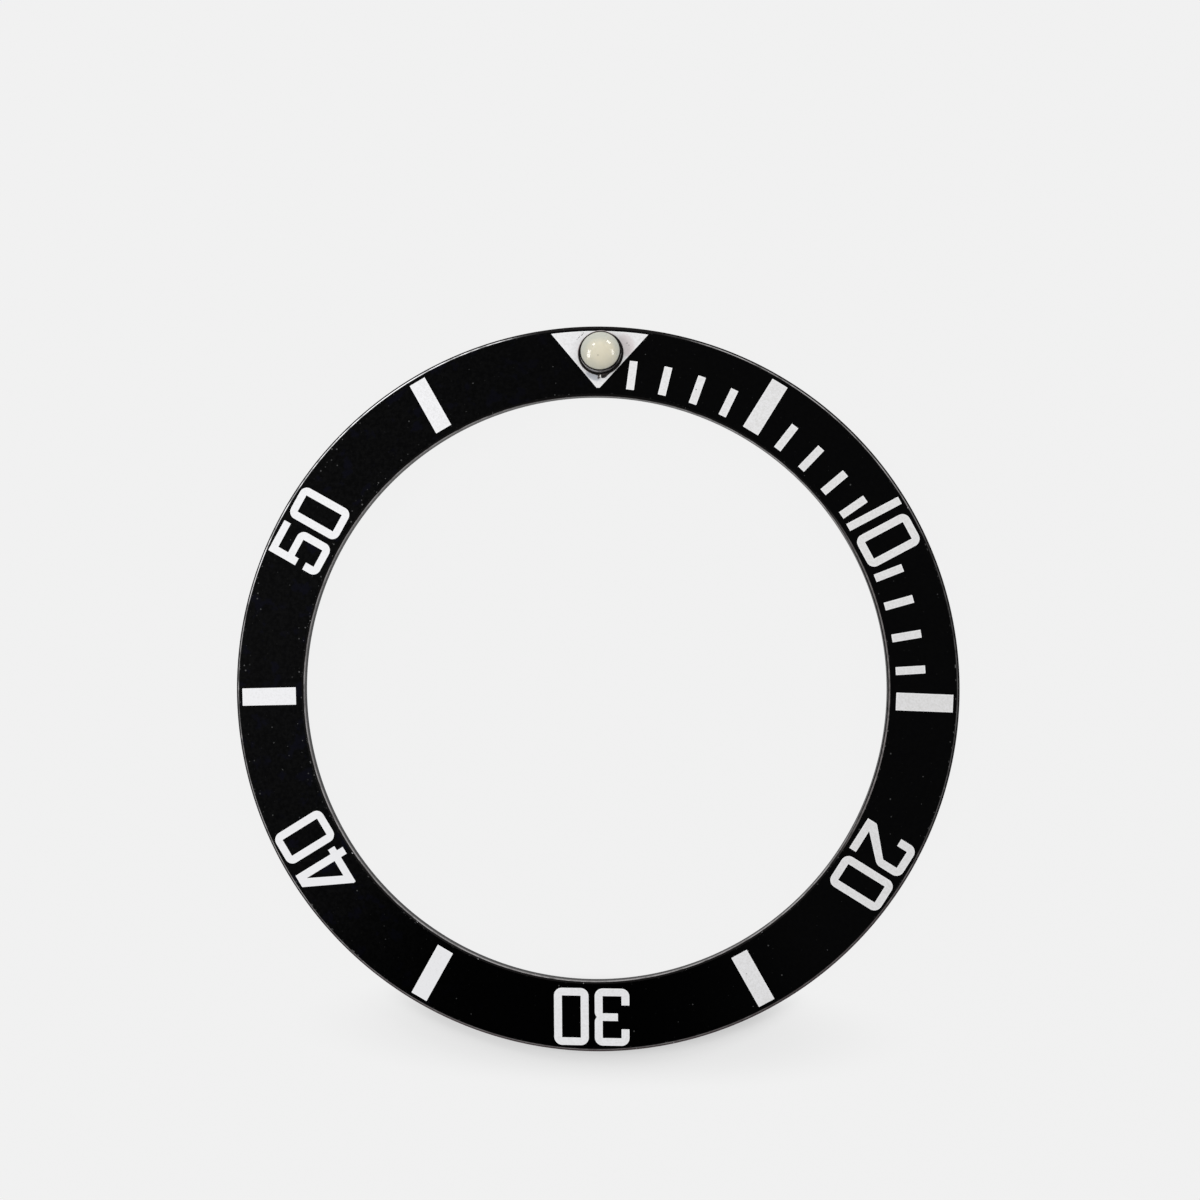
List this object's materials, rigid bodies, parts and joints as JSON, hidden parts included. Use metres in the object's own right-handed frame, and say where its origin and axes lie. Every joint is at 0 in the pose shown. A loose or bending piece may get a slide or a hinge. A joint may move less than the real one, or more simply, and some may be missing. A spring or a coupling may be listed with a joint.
{
  "type": "watch bezel insert",
  "caption": "Thin dished dive watch bezel insert with a raised luminous pearl, a minute scale and numerals.",
  "frame": {"origin": "centre of the ring, in the plane that its back rests on", "axes": "+Z out of the face, +Y towards 12 o'clock, +X towards 3 o'clock"},
  "size_m": [0.0378, 0.0378, 0.0018],
  "materials": {
    "ring_black": "black anodised, satin",
    "mark_silver": "silver white, matt",
    "cup_metal": "turned, bright",
    "lume_paste": "matt luminous paste",
    "dome_cream": "glossy, cream",
    "cement": "glossy, dark brown"
  },
  "bodies": {
    "root": {"insert_ring": "ring_black", "triangle_marker": "mark_silver", "bar_05": "mark_silver", "bar_15": "mark_silver", "bar_25": "mark_silver", "bar_35": "mark_silver", "bar_45": "mark_silver", "bar_55": "mark_silver", "minute_tick_01": "mark_silver", "minute_tick_02": "mark_silver", "minute_tick_03": "mark_silver", "minute_tick_04": "mark_silver", "minute_tick_06": "mark_silver", "minute_tick_07": "mark_silver", "minute_tick_08": "mark_silver", "minute_tick_09": "mark_silver", "minute_tick_11": "mark_silver", "minute_tick_12": "mark_silver", "minute_tick_13": "mark_silver", "minute_tick_14": "mark_silver", "numeral_10": "mark_silver", "numeral_20": "mark_silver", "numeral_30": "mark_silver", "numeral_40": "mark_silver", "numeral_50": "mark_silver", "pearl_cup": "cup_metal", "pearl_lume": "lume_paste", "pearl_dome": "dome_cream", "pearl_cement": "cement"}
  },
  "joints": []
}
